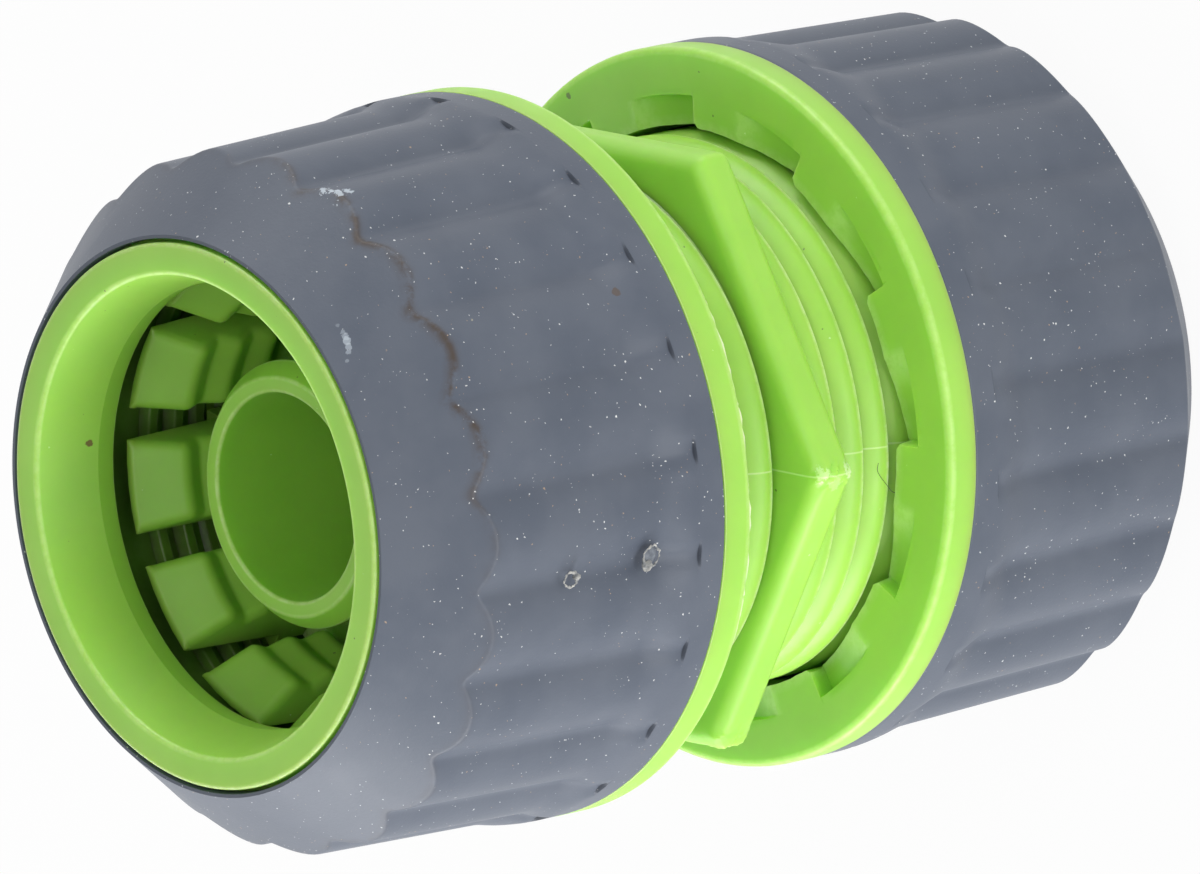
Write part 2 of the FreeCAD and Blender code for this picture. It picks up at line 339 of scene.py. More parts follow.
class NodeDesk:
    """Places and links the nodes of one shader tree."""

    def __init__(self, tree: bpy.types.NodeTree) -> None:
        """Takes the tree that is worked on."""
        self.tree = tree

    def add(self, kind: str, **settings: object) -> bpy.types.Node:
        """New node of a kind, with the given properties set."""
        node = self.tree.nodes.new(kind)
        for key, value in settings.items():
            setattr(node, key, value)
        return node

    def feed(self, socket: bpy.types.NodeSocket, value: Feed) -> None:
        """Links a socket to another one, or sets its own value."""
        if isinstance(value, bpy.types.NodeSocket):
            self.tree.links.new(value, socket)
        elif socket.type == "RGBA" and len(value) == 3:
            socket.default_value = value + (1.0,)
        else:
            socket.default_value = value

    def math(self, operation: str, *values: Feed, clamp: bool = False) -> bpy.types.NodeSocket:
        """Result of a math node."""
        node = self.add("ShaderNodeMath", operation=operation, use_clamp=clamp)
        for socket, value in zip(node.inputs, values):
            self.feed(socket, value)
        return node.outputs[0]

    def times(self, first: Feed, second: Feed, clamp: bool = False) -> bpy.types.NodeSocket:
        """Product of two values."""
        return self.math("MULTIPLY", first, second, clamp=clamp)

    def vector(self, operation: str, *values: Feed) -> bpy.types.Node:
        """A vector math node with its inputs fed in order."""
        node = self.add("ShaderNodeVectorMath", operation=operation)
        for socket, value in zip(node.inputs, values):
            self.feed(socket, value)
        return node

    def step(self, value: Feed, low: Feed, high: Feed, to: tuple[float, float] = (0.0, 1.0)) -> bpy.types.NodeSocket:
        """Smoothstep of a value between low and high, onto the to range."""
        node = self.add("ShaderNodeMapRange", interpolation_type="SMOOTHSTEP")
        for socket, fed in zip(node.inputs, (value, low, high, to[0], to[1])):
            self.feed(socket, fed)
        return node.outputs[0]

    def blend(self, share: Feed, first: Feed, second: Feed, way: str = "MIX") -> bpy.types.NodeSocket:
        """Colour mixed from first to second."""
        node = self.add("ShaderNodeMix", data_type="RGBA", blend_type=way)
        for socket, fed in ((node.inputs[0], share), (node.inputs[6], first), (node.inputs[7], second)):
            self.feed(socket, fed)
        return node.outputs[2]

    def cover(self, colour: Feed, mask: Feed, strength: Feed, over: Feed) -> bpy.types.NodeSocket:
        """Colour with another one laid over it where a mask is set."""
        return self.blend(self.times(mask, strength, clamp=True), colour, over)

    def relief(self, shader: bpy.types.Node, height: Feed, distance: float, strength: float) -> None:
        """Bump of a height, fed to a shader's normal."""
        bump = self.add("ShaderNodeBump")
        for name, fed in (("Height", height), ("Distance", distance), ("Strength", strength)):
            self.feed(bump.inputs[name], fed)
        self.feed(shader.inputs["Normal"], bump.outputs[0])

    def seen_directly(self) -> bpy.types.NodeSocket:
        """1 for camera, glossy and transmission rays, and 0 for the rays that carry light."""
        path = self.add("ShaderNodeLightPath")
        seen = self.math("MAXIMUM", path.outputs["Is Camera Ray"], path.outputs["Is Glossy Ray"])
        return self.math("MAXIMUM", seen, path.outputs["Is Transmission Ray"])

    def noise(self, vector: Feed, scale: Feed, detail: float = 3.0, rough: float = 0.5) -> bpy.types.NodeSocket:
        """Noise value, about 0 to 1, at a scale in waves per metre."""
        node = self.add("ShaderNodeTexNoise")
        for name, fed in (("Vector", vector), ("Scale", scale), ("Detail", detail), ("Roughness", rough)):
            self.feed(node.inputs[name], fed)
        return node.outputs["Fac"]

    def tone(self, name: str) -> bpy.types.NodeSocket:
        """Value of a point attribute, 0 where a mesh has none."""
        return self.add("ShaderNodeAttribute", attribute_name=name).outputs["Fac"]

    def place(self, group: bpy.types.NodeTree, **values: Feed) -> bpy.types.Node:
        """A group node with its named inputs fed."""
        node = self.add("ShaderNodeGroup", node_tree=group)
        for name, fed in values.items():
            self.feed(node.inputs[name], fed)
        return node


class SharedEffects:
    """Node groups that several finishes use, each built once."""

    def __init__(self) -> None:
        """Builds the groups for specks, grain and spots."""
        self.specks = self._specks()
        self.grain = self._grain()
        self.spot = self._spot()

    def _group(self, name: str, inputs: tuple[str, ...], outputs: tuple[str, ...]) -> tuple:
        """Empty group with named sockets, its desk and its input and output nodes.

        Inputs called Vector or Centre are vectors, and all other sockets are numbers.
        """
        group = bpy.data.node_groups.new(name, "ShaderNodeTree")
        for label in inputs:
            kind = "NodeSocketVector" if label in ("Vector", "Centre") else "NodeSocketFloat"
            group.interface.new_socket(name=label, in_out="INPUT", socket_type=kind)
        for label in outputs:
            group.interface.new_socket(name=label, in_out="OUTPUT", socket_type="NodeSocketFloat")
        desk = NodeDesk(group)
        return group, desk, desk.add("NodeGroupInput"), desk.add("NodeGroupOutput")

    def _specks(self) -> bpy.types.NodeTree:
        """Dust specks: small uneven dots round the points of a jittered cell pattern.

        A cell's distance field is cut at a size that its own random colour sets, and only the
        cells whose random number is under Amount hold a speck.
        """
        inputs = ("Vector", "Scale", "Size", "Amount")
        group, desk, source, sink = self._group("dust_specks", inputs, ("Mask", "Tint"))
        bent = desk.add("ShaderNodeTexNoise")
        desk.feed(bent.inputs["Vector"], source.outputs["Vector"])
        desk.feed(bent.inputs["Scale"], 9000.0)
        centred = desk.vector("SUBTRACT", bent.outputs["Color"], (0.5,) * 3).outputs[0]
        shift = desk.vector("MULTIPLY", centred, (0.16 * MM,) * 3)
        place = desk.vector("ADD", source.outputs["Vector"], shift.outputs[0])
        cells = desk.add("ShaderNodeTexVoronoi", feature="F1")
        desk.feed(cells.inputs["Vector"], place.outputs[0])
        desk.feed(cells.inputs["Scale"], source.outputs["Scale"])
        random = desk.add("ShaderNodeSeparateColor")
        desk.feed(random.inputs[0], cells.outputs["Color"])
        chosen = desk.math("LESS_THAN", random.outputs[0], source.outputs["Amount"])
        size = desk.times(source.outputs["Size"], desk.math("POWER", random.outputs[1], 2.0))
        size = desk.math("ADD", size, desk.times(source.outputs["Size"], 0.35))
        inside = desk.step(cells.outputs["Distance"], desk.times(size, 0.55), size, (1.0, 0.0))
        desk.feed(sink.inputs["Mask"], desk.times(inside, chosen))
        desk.feed(sink.inputs["Tint"], random.outputs[2])
        return group

    def _grain(self) -> bpy.types.NodeTree:
        """Moulded grain: fine noise for the height and broad noise for the tone."""
        group, desk, source, sink = self._group("moulded_grain", ("Vector", "Fine", "Broad"), ("Height", "Tone"))
        fine = desk.noise(source.outputs["Vector"], source.outputs["Fine"], 4.0, 0.6)
        broad = desk.noise(source.outputs["Vector"], source.outputs["Broad"], 3.0, 0.55)
        desk.feed(sink.inputs["Height"], fine)
        desk.feed(sink.inputs["Tone"], desk.step(broad, 0.3, 0.7))
        return group

    def _spot(self) -> bpy.types.NodeTree:
        """One ragged spot: 1 at Centre and 0 past Radius, its edge bent by noise."""
        group, desk, source, sink = self._group("ragged_spot", ("Vector", "Centre", "Radius", "Ragged"), ("Mask",))
        apart = desk.vector("DISTANCE", source.outputs["Vector"], source.outputs["Centre"]).outputs["Value"]
        share = desk.math("DIVIDE", apart, source.outputs["Radius"])
        bend = desk.math("SUBTRACT", desk.noise(source.outputs["Vector"], 3200.0, 3.0, 0.7), 0.5)
        share = desk.math("ADD", share, desk.times(bend, source.outputs["Ragged"]))
        desk.feed(sink.inputs["Mask"], desk.step(share, 0.7, 1.0, (1.0, 0.0)))
        return group


@dataclass(frozen=True)
class Mark:
    """A small mark on a surface: its place in the CAD frame in mm, its radius and its colour."""

    place: Triple
    radius: float
    colour: Triple
    strength: float = 0.8
    ragged: float = 1.6


def marked(
    desk: NodeDesk, effects: SharedEffects, place: bpy.types.NodeSocket, colour: Feed, marks: tuple[Mark, ...],
) -> Feed:
    """Colour with each mark's ragged spot laid over it."""
    for mark in marks:
        centre = tuple(value * MM for value in mark.place)
        radius = mark.radius * MM
        spot = desk.place(effects.spot, Vector=place, Centre=centre, Radius=radius, Ragged=mark.ragged)
        colour = desk.cover(colour, spot.outputs[0], mark.strength, mark.colour)
    return colour


@dataclass(frozen=True)
class DustLayer:
    """Specks of one size: cells in a metre, the share that holds a speck, and the speck's size."""

    scale: float
    amount: float
    size: float


def new_finish(name: str, effects: SharedEffects, fine: float, broad: float) -> tuple:
    """Empty material with what every finish starts from.

    Args:
        name: the material's name.
        effects: the shared node groups.
        fine: waves of the grain's relief in a metre.
        broad: waves of the grain's tone in a metre.

    Returns:
        The material, its desk, its shader, its object coordinates and its grain node.
    """
    made = bpy.data.materials.new(name)
    made.use_nodes = True
    desk = NodeDesk(made.node_tree)
    place = desk.add("ShaderNodeTexCoord").outputs["Object"]
    grain = desk.place(effects.grain, Vector=place, Fine=fine, Broad=broad)
    return made, desk, made.node_tree.nodes["Principled BSDF"], place, grain


@dataclass(frozen=True)
class GreenPlastic:
    """Lime green hard plastic: satin gloss, a little light passing through, faint dust, pale edges that are partly
    wear and partly painted highlight, and painted shade inside the nuts.
    """

    base: Triple = (0.345, 0.645, 0.086)
    deep: Triple = (0.312, 0.606, 0.075)
    # Pale colour laid on worn edges, on painted highlights along edges and thread crests, and on the parting line.
    pale: Triple = (0.740, 0.930, 0.480)
    flash: Triple = (0.900, 0.920, 0.680)
    dust: Triple = (0.700, 0.850, 0.480)
    dirt: Triple = (0.060, 0.065, 0.030)
    # Dark green of the painted shade in the nuts' recess and on their inner ribs.
    shade: Triple = (0.050, 0.105, 0.014)
    layers: tuple[DustLayer, ...] = (DustLayer(900.0, 0.10, 0.075), DustLayer(2200.0, 0.045, 0.13))
    roughness: float = 0.44
    specular: float = 0.50
    translucence: float = 0.60
    light_reach: Triple = (0.65, 1.0, 0.25)
    light_depth: float = 2.4 * MM
    line_half_width: float = 0.026 * MM
    line_strength: float = 0.42
    line_front: float = -13.0 * MM

    def material(
        self, name: str, effects: SharedEffects, parting_line: bool, marks: tuple[Mark, ...] = (),
    ) -> bpy.types.Material:
        """Builds the finish.

        Args:
            name: the material's name.
            effects: the shared node groups.
            parting_line: whether the mould's parting line runs down the -Y side.
            marks: single marks that the photograph shows.

        Returns:
            The material.
        """
        made, desk, shader, place, grain = new_finish(name, effects, 3800.0, 160.0)
        colour = desk.blend(grain.outputs["Tone"], self.deep, self.base)
        patchy = desk.step(desk.noise(place, 1500.0, 4.0, 0.65), 0.35, 0.62, (0.35, 1.0))
        # Pale tone on edges and crests: partly wear, partly painted highlight.
        worn_and_highlit = desk.times(desk.tone("wear"), patchy, clamp=True)
        colour = desk.cover(colour, worn_and_highlit, 0.75, self.pale)
        colour = desk.cover(colour, desk.tone("flash"), 0.9, self.flash)
        # Painted shade: the recess behind the lip and the inner ribs are darkened.
        colour = desk.cover(colour, desk.tone("shade"), 0.7, self.shade)
        height = desk.times(grain.outputs["Height"], 0.35)
        if parting_line:
            axes = desk.add("ShaderNodeSeparateXYZ")
            desk.feed(axes.inputs[0], place)
            aside, edge = desk.math("ABSOLUTE", axes.outputs[0]), self.line_half_width
            front = desk.math("LESS_THAN", axes.outputs[1], self.line_front)
            line = desk.times(desk.step(aside, edge, 2.4 * edge, (1.0, 0.0)), front)
            colour = desk.cover(colour, line, self.line_strength, self.pale)
            height = desk.math("ADD", height, desk.times(line, 1.2))
        for layer in self.layers:
            dust = desk.place(effects.specks, Vector=place, Scale=layer.scale, Size=layer.size, Amount=layer.amount)
            tint = desk.blend(desk.math("LESS_THAN", dust.outputs["Tint"], 0.45), self.dust, self.dirt)
            colour = desk.cover(colour, dust.outputs["Mask"], 0.7, tint)
        rough = (self.roughness + 0.04, self.roughness - 0.04)
        desk.feed(shader.inputs["Base Color"], marked(desk, effects, place, colour, marks))
        desk.feed(shader.inputs["Roughness"], desk.step(grain.outputs["Tone"], 0.0, 1.0, rough))
        desk.relief(shader, height, 0.02 * MM, 0.3)
        shader.inputs["Specular IOR Level"].default_value = self.specular
        shader.inputs["Subsurface Weight"].default_value = self.translucence
        shader.inputs["Subsurface Radius"].default_value = self.light_reach
        shader.inputs["Subsurface Scale"].default_value = self.light_depth
        return made


@dataclass(frozen=True)
class SoftGripRubber:
    """Slate grey soft-touch plastic: matt, rubbed lighter in patches, specked with dust, with dirt and painted shade
    where the nose meets the lobes and painted shade in the slits.
    """

    base: Triple = (0.082, 0.097, 0.128)
    rubbed: Triple = (0.101, 0.116, 0.147)
    dust: Triple = (0.760, 0.770, 0.770)
    rust: Triple = (0.400, 0.290, 0.200)
    # Brown of the dirt and painted shade along the line where the nose cone meets the lobes.
    grime: Triple = (0.060, 0.046, 0.038)
    # Near black of the painted shade in the slits where the valleys end.
    slit: Triple = (0.006, 0.007, 0.009)
    layers: tuple[DustLayer, ...] = (
        DustLayer(1300.0, 0.34, 0.085), DustLayer(2600.0, 0.34, 0.13), DustLayer(4800.0, 0.30, 0.19),
    )
    roughness: float = 0.42
    specular: float = 0.32

    def material(self, name: str, effects: SharedEffects, marks: tuple[Mark, ...] = ()) -> bpy.types.Material:
        """Builds the finish, with the single marks that the photograph shows."""
        made, desk, shader, place, grain = new_finish(name, effects, 5200.0, 240.0)
        colour = desk.blend(grain.outputs["Tone"], self.base, self.rubbed)
        patchy = desk.step(desk.noise(place, 900.0, 4.0, 0.65), 0.32, 0.60)
        # Dirt and painted shade darken the grip along the cone's junction with the lobes, in patches.
        colour = desk.cover(colour, desk.tone("grime"), patchy, self.grime)
        # Painted shade: the slits at the valleys' ends are darkened to near black.
        colour = desk.cover(colour, desk.tone("slit"), 0.9, self.slit)
        cloud = desk.step(desk.noise(place, 420.0, 4.0, 0.6), 0.42, 0.70)
        for layer in self.layers:
            amount = desk.math("ADD", layer.amount * 0.45, desk.times(cloud, layer.amount * 1.1))
            dust = desk.place(effects.specks, Vector=place, Scale=layer.scale, Size=layer.size, Amount=amount)
            tint = desk.blend(desk.math("LESS_THAN", dust.outputs["Tint"], 0.3), self.dust, self.rust)
            colour = desk.cover(colour, dust.outputs["Mask"], 0.85, tint)
        rough = (self.roughness, self.roughness + 0.08)
        desk.feed(shader.inputs["Base Color"], marked(desk, effects, place, colour, marks))
        desk.feed(shader.inputs["Roughness"], desk.step(grain.outputs["Tone"], 0.0, 1.0, rough))
        desk.relief(shader, grain.outputs["Height"], 0.02 * MM, 0.5)
        shader.inputs["Specular IOR Level"].default_value = self.specular
        return made


@dataclass(frozen=True)
class PlainScrap:
    """Plain matt finish of torn plastic or a hair, mottled between two colours."""

    dark: Triple
    light: Triple
    roughness: float = 0.55

    def material(self, name: str, effects: SharedEffects) -> bpy.types.Material:
        """Builds the finish."""
        made, desk, shader, _, grain = new_finish(name, effects, 7000.0, 2600.0)
        desk.feed(shader.inputs["Base Color"], desk.blend(grain.outputs["Tone"], self.dark, self.light))
        shader.inputs["Roughness"].default_value = self.roughness
        desk.relief(shader, grain.outputs["Height"], 0.06 * MM, 0.8)
        return made


PALE_FLAKE = (0.50, 0.56, 0.62)
BROWN_DIRT = (0.095, 0.070, 0.055)
PALE_GREEN = (0.72, 0.90, 0.52)
OCHRE = (0.50, 0.46, 0.34)
RUST = (0.45, 0.30, 0.14)
DARK_RED = (0.16, 0.06, 0.03)
FLUFF = (
    (17.20, -6.24, 51.38), (16.99, -6.79, 51.26), (17.01, -6.80, 50.80), (17.06, -5.95, 51.68),
    (16.80, -7.20, 51.95),
)
SCRATCH = (
    ((11.20, -10.58, 54.92), 0.13, 0.20), ((10.88, -10.93, 54.90), 0.15, 0.30),
    ((10.68, -11.10, 54.92), 0.20, 0.40), ((10.47, -11.27, 54.95), 0.22, 0.50),
    ((10.22, -11.42, 55.01), 0.19, 0.45), ((9.95, -11.56, 55.09), 0.15, 0.35),
    ((9.55, -11.66, 55.32), 0.12, 0.25),
)


@dataclass(frozen=True)
class Finishes:
    """The finishes of the whole connector, with the marks that the photograph shows."""

    body: bpy.types.Material
    nut: bpy.types.Material
    grips: dict[End, bpy.types.Material]
    scrap: bpy.types.Material
    torn: bpy.types.Material
    hair: bpy.types.Material

    @classmethod
    def made(cls) -> "Finishes":
        """Builds every finish once."""
        effects = SharedEffects()
        green, soft = GreenPlastic(), SoftGripRubber()
        grip_marks = (
            *(Mark(place, 0.30, PALE_FLAKE, 0.8, 4.0) for place in FLUFF),
            *(Mark(place, radius, PALE_FLAKE, strength, 2.4) for place, radius, strength in SCRATCH),
            Mark((11.12, -14.97, 40.08), 0.26, BROWN_DIRT),
            Mark((11.19, -14.55, 49.34), 0.16, OCHRE),
            Mark((-1.78, -18.60, 40.28), 0.20, RUST, 0.8, 2.6),
            Mark((-1.30, -18.55, 40.50), 0.14, RUST, 0.7, 2.6),
        )
        body_marks = (
            Mark((0.15, -17.95, 29.05), 0.60, PALE_GREEN, 0.45, 3.0),
            Mark((0.28, -17.92, 26.85), 0.66, PALE_GREEN, 0.55, 3.0),
            Mark((-0.45, -17.80, 28.10), 0.42, PALE_GREEN, 0.25, 3.0),
        )
        nut_marks = (
            Mark((1.80, 11.60, 53.20), 0.22, DARK_RED, 0.85),
            Mark((15.36, 10.0, 21.22), 0.20, BROWN_DIRT, 0.7, 2.4),
        )
        grips = {
            End.UPPER: soft.material("upper_soft_grip", effects, grip_marks),
            End.LOWER: soft.material("lower_soft_grip", effects),
        }
        return cls(
            green.material("body_green", effects, parting_line=True, marks=body_marks),
            green.material("nut_green", effects, parting_line=False, marks=nut_marks),
            grips,
            PlainScrap((0.14, 0.15, 0.16), (0.52, 0.51, 0.47)).material("torn_grey_flake", effects),
            PlainScrap((0.10, 0.115, 0.14), (0.20, 0.22, 0.25)).material("torn_grey_core", effects),
            PlainScrap((0.02, 0.03, 0.015), (0.05, 0.06, 0.03)).material("dark_hair", effects),
        )


@dataclass
class ConnectorBody:
    """The one-piece green moulding: tails, pockets, fingers, threads and hexagon flange."""

    middle: float
    finish: bpy.types.Material
    bore_radius: float = 5.42 * MM
    tail_radius: float = 6.65 * MM
    tail_reach: float = 21.96 * MM
    tail_lip_radius: float = 7.08 * MM
    tail_tip_radius: float = 6.24 * MM
    tail_lip_length: float = 1.04 * MM
    tail_lip_back: float = 0.40 * MM
    pocket_floor: float = 3.0 * MM
    skirt_inner_radius: float = 12.04 * MM
    root_radius: float = 13.72 * MM
    crest_radius: float = 14.51 * MM
    pitch: float = 1.75 * MM
    crest_width: float = 0.85 * MM
    flank_width: float = 0.18 * MM
    first_crest: float = 2.29 * MM
    crest_back: float = 0.55 * MM
    shoulder: float = 0.28 * MM
    crest_edge_degrees: float = -82.0
    crest_edges: dict[End, float] = field(default_factory=lambda: {End.UPPER: 1.54 * MM, End.LOWER: -2.99 * MM})
    finger_count: int = 12
    finger_turn: float = math.radians(5.62)
    slot_width: float = 1.73 * MM
    slot_floor: float = 13.26 * MM
    finger_reach: float = 21.78 * MM
    finger_tip_radius: float = 12.90 * MM
    finger_tip_width: float = 0.42 * MM
    finger_root_radius: float = 13.26 * MM
    finger_edge: float = 0.55 * MM
    finger_crease: float = 0.05 * MM
    tooth_crest_radius: float = 10.64 * MM
    tooth_depth: float = 0.6 * MM
    tooth_pitch: float = 2.4 * MM
    tooth_count: int = 3
    first_tooth_from_tip: float = 2.36 * MM
    flange_radius: float = 18.07 * MM
    flange_thickness: float = 2.52 * MM
    flange_edge: float = 0.90 * MM
    flange_corner: float = 0.5 * MM
    flange_turn: float = math.radians(30.0)
    gate_corner: float = math.radians(-90.0)
    cut_corner: float = math.radians(-150.0)

    def core(self) -> Surface:
        """Web, both tails and both skirts up to the slots' floors, as one turned section."""
        lip = self.tail_reach - self.tail_lip_length
        half = [
            (self.bore_radius, self.tail_reach, 0.16 * MM),
            (self.tail_tip_radius, self.tail_reach, 0.26 * MM),
            (self.tail_lip_radius, lip, 0.30 * MM),
            (self.tail_radius, lip - self.tail_lip_back, 0.15 * MM),
            (self.tail_radius, self.pocket_floor, 0.5 * MM),
            (self.skirt_inner_radius, self.pocket_floor, 0.5 * MM),
            (self.skirt_inner_radius, self.slot_floor, 0.0),
            (self.root_radius, self.slot_floor, 0.0),
        ]
        other = [(radius, -height, rounding) for radius, height, rounding in reversed(half)]
        section = rounded_section(half + other)
        section[:, 1] += self.middle
        return turned(section, 192)

    def finger_section(self) -> np.ndarray:
        """Closed (radius, h) section of one finger: teeth inside, tip, thread crest outside."""
        valley = self.tooth_crest_radius + self.tooth_depth
        first = self.finger_reach - self.first_tooth_from_tip
        last = first - self.tooth_pitch * (self.tooth_count - 1)
        run_out = self.skirt_inner_radius - self.tooth_crest_radius
        corners = [
            (self.skirt_inner_radius, self.slot_floor - 0.5 * MM, 0.0),
            (self.skirt_inner_radius, last - run_out, 0.0),
        ]
        for index in range(self.tooth_count):
            height = last + self.tooth_pitch * index
            corners.append((self.tooth_crest_radius, height, 0.62 * MM))
            if index < self.tooth_count - 1:
                corners.append((valley, height + self.tooth_pitch / 2.0, 0.25 * MM))
        inner_tip = self.finger_tip_radius - self.finger_tip_width
        corners.append((inner_tip, self.finger_reach, 0.36 * MM))
        corners.append((self.finger_tip_radius, self.finger_reach, 0.14 * MM))
        crest = self.first_crest + self.pitch * 7
        half = self.crest_width / 2.0
        corners.append((self.finger_root_radius, crest + half + self.flank_width, 0.0))
        corners.append((self.crest_radius, crest + half, 0.08 * MM))
        corners.append((self.crest_radius, crest - half, 0.08 * MM))
        corners.append((self.root_radius, crest - half - self.flank_width, 0.0))
        corners.append((self.root_radius, self.slot_floor - 0.5 * MM, 0.0))
        return rounded_section(corners, 4)

    def finger(self, centre: float, end: End) -> Surface:
        """One finger between two parallel-sided slots, its inner edges rounded.

        The section is carried across the finger. At a share t from -1 to 1 across it, a point
        at radius r stands at the angle centre + t (pi / count - asin(half slot / r)). Along a
        quarter circle of angle a and radius d next to each side, the section shrinks by
        d (1 - sin a) and stands d (1 - cos a) in from the side.
        """
        section = self.finger_section()
        along = np.roll(section, -1, axis=0) - np.roll(section, 1, axis=0)
        inward = np.stack([-along[:, 1], along[:, 0]], axis=1)
        inward /= np.linalg.norm(inward, axis=1)[:, None]
        area = np.sum(section[:, 0] * np.roll(section[:, 1], -1) - np.roll(section[:, 0], -1) * section[:, 1])
        inward *= math.copysign(1.0, area)
        inside = smooth(self.finger_tip_radius - section[:, :1], 0.0, 0.55 * MM)
        depth = self.finger_crease + (self.finger_edge - self.finger_crease) * inside
        quarter = np.linspace(0.0, math.pi / 2.0, 6)
        shrink, recede = 1.0 - np.sin(quarter), 1.0 - np.cos(quarter)
        inset = np.concatenate([shrink, np.zeros(3), shrink[::-1]])
        share = np.concatenate([recede, np.ones(3), recede[::-1]])
        across = np.concatenate([-np.ones(6), [-0.5, 0.0, 0.5], np.ones(6)])
        radius = section[:, :1] + inward[:, :1] * depth * inset
        height = section[:, 1:] + inward[:, 1:] * depth * inset
        spread = math.pi / self.finger_count - np.arcsin(self.slot_width / 2.0 / radius)
        angle = centre + across * (spread - depth * share / radius)
        height = self.middle + end.value * height
        points = np.stack([radius * np.cos(angle), radius * np.sin(angle), height], axis=-1)
        rows, columns = radius.shape
        quads = grid_quads(rows, columns, True, False)
        return Surface(points.reshape(-1, 3), quads, end_caps(rows, columns))

    def thread(self, end: End) -> Surface:
        """Outer thread of one end: a right-hand ridge from inside the flange to the slots' floor.

        One pitch of the profile climbs softly from a shoulder on the +Z side to the crest and
        drops by a steep flank on the -Z side, so that neighbouring turns lap like shingles.
        """
        foot, half, edge = self.root_radius - 0.3 * MM, self.pitch / 2.0, self.crest_back
        low, high = self.root_radius + self.shoulder, self.crest_radius + 0.02 * MM
        reach = half + edge * 0.5
        climb = np.linspace(0.0, 1.0, 13)[:-1]
        slope = [(low + (high - low) * math.sin(share * math.pi / 2.0), half - share * reach) for share in climb]
        sides = np.array(
            [(foot, half)] + slope
            + [(self.crest_radius + 0.02 * MM, -edge * 0.5), (self.crest_radius + 0.01 * MM, -edge + 0.09 * MM)]
            + [(self.crest_radius - 0.01 * MM, -edge + 0.03 * MM), (self.crest_radius - 0.05 * MM, -edge)]
            + [(self.crest_radius - 0.12 * MM, -edge - 0.03 * MM), (low - 0.03 * MM, -edge - 0.2 * MM)]
            + [(low, -half), (foot, -half)]
        )
        first, last = (0.2 * MM, self.slot_floor - half - 0.1 * MM)
        if end is End.LOWER:
            first, last = -last, -first
        seen = self.crest_edges[end] + edge
        start = math.radians(self.crest_edge_degrees) - (seen - first) / self.pitch * 2.0 * math.pi
        turns = (last - first) / self.pitch
        ridge = helix_ridge(sides, start, turns, self.pitch, self.middle + first)
        # Painted highlight: a pale line along each crest's edge.
        lit = np.zeros(len(sides))
        lit[-7:-4] = (0.7, 1.0, 0.7)
        ridge.tones["wear"] = np.repeat(lit, len(ridge.points) // len(sides))
        return ridge

    def hexagon(self, inset: float, across: np.ndarray) -> np.ndarray:
        """Distances from the axis of a hexagon with rounded corners, one for each direction.

        A direction is given by its angle from the nearest corner, within 30 degrees. Past the
        corner's arc the distance is apothem / cos(30 degrees - angle). On the arc it is
        D cos angle + sqrt(c^2 - D^2 sin^2 angle), with the arc's centre D from the axis.
        """
        apothem = self.flange_radius * math.cos(math.pi / 6.0) - inset
        centre = (apothem - self.flange_corner) / math.cos(math.pi / 6.0)
        bound = math.atan2(self.flange_corner * 0.5, centre + self.flange_corner * math.cos(math.pi / 6.0))
        away = np.abs(across)
        flat = apothem / np.cos(math.pi / 6.0 - away)
        under = np.clip(self.flange_corner**2 - (centre * np.sin(away)) ** 2, 0.0, None)
        return np.where(away < bound, centre * np.cos(away) + np.sqrt(under), flat)

    def flange(self) -> Surface:
        """Hexagon flange as a closed ring, its corners and rims rounded.

        Each row insets the outline along a quarter circle towards one face. The corner with
        the gate scar and the corner that was trimmed are roughened a little.
        """
        bend = np.linspace(-2.4, 2.4, 17)
        flat = np.linspace(2.9, 30.0, 15)
        across = np.radians(np.concatenate([-flat[1:][::-1], bend, flat[:-1]]))
        corners = self.flange_turn + np.arange(6) * math.pi / 3.0
        angles = (corners[:, None] + across[None, :]).ravel()
        half, edge = self.flange_thickness / 2.0, self.flange_edge
        quarter = np.linspace(0.0, math.pi / 2.0, 9)
        upper = [(edge * (1.0 - math.sin(a)), half - edge * (1.0 - math.cos(a))) for a in quarter]
        flank = [(0.0, z) for z in np.linspace(half - edge, edge - half, 7)[1:-1]]
        lower = [(inset, -z) for inset, z in reversed(upper)]
        rows = [(edge + 0.3 * MM, half)] + upper + flank + lower + [(edge + 0.3 * MM, -half)]
        radius = np.array([np.tile(self.hexagon(inset, across), 6) for inset, _ in rows])
        height = np.array([z for _, z in rows])[:, None]
        rough = ripple(angles * 9.0 + height * 900.0, (7, 11, 17, 29), 4)
        for corner, reach, depth in ((self.gate_corner, 0.055, 0.16 * MM), (self.cut_corner, 0.10, 0.14 * MM)):
            apart = np.abs((angles - corner + math.pi) % (2.0 * math.pi) - math.pi)
            near = smooth(reach - apart, 0.0, 0.6 * reach)
            radius = radius - near * depth * (0.45 + rough)
        hidden = np.full((1, angles.size), self.root_radius - 0.6 * MM)
        radius = np.concatenate([hidden, radius, hidden])
        height = np.concatenate([[[half]], height, [[-half]]]) + self.middle
        return ring_surface(radius, height, angles)

    def build(self) -> None:
        """Builds the moulding as one piece in place of the CAD node."""
        parts = [self.flange()]
        for end in End:
            parts.append(self.thread(end))
            for index in range(self.finger_count):
                parts.append(self.finger(self.finger_turn + index * 2.0 * math.pi / self.finger_count, end))
        make_piece("body_moulding", self.core().joined(*parts), self.finish, "body", "green_body", "connector_body")


